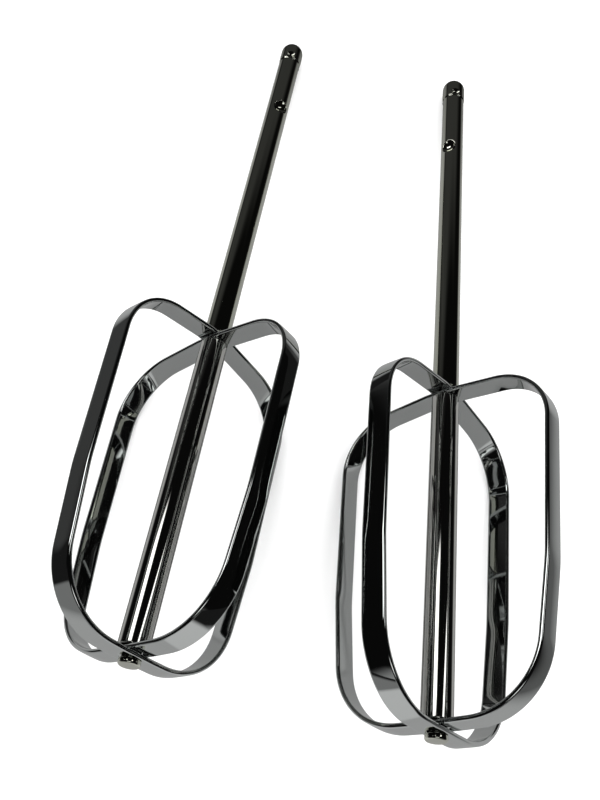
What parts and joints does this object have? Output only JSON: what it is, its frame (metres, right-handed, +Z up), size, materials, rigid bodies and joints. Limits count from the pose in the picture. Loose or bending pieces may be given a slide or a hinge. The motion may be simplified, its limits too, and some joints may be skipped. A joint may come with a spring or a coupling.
{
  "type": "mixer beater pair",
  "caption": "Matched pair of chromed wire-cage beaters: round stems with a pressed, dimpled end, each carrying a four-blade cage of flat strip round a central tube.",
  "frame": {"origin": "on the surface the beaters lie on, under the middle of the pair", "axes": "+Z up, +Y from the cages towards the stem ends, +X to the right when looking along the stems"},
  "size_m": [0.102, 0.2094, 0.0462],
  "materials": {
    "polished_stem": "mirror-polished chrome plate on a round steel stem",
    "bright_tube": "bright chrome plate over drawn tube, with faint lengthwise draw lines",
    "bright_strip": "bright chrome plate over rolled flat strip with rounded edges"
  },
  "bodies": {
    "right_beater": {"right_drive_shaft": "polished_stem", "right_spacer_tube": "bright_tube", "right_inner_blade_loop": "bright_strip", "right_outer_blade_loop": "bright_strip"},
    "left_beater": {"left_drive_shaft": "polished_stem", "left_spacer_tube": "bright_tube", "left_inner_blade_loop": "bright_strip", "left_outer_blade_loop": "bright_strip"}
  },
  "joints": [
    {"name": "left_beater_lift", "type": "slide", "parent": "right_beater", "child": "left_beater", "axis": [0, 0, 1], "range_m": [0, 0.08]}
  ]
}
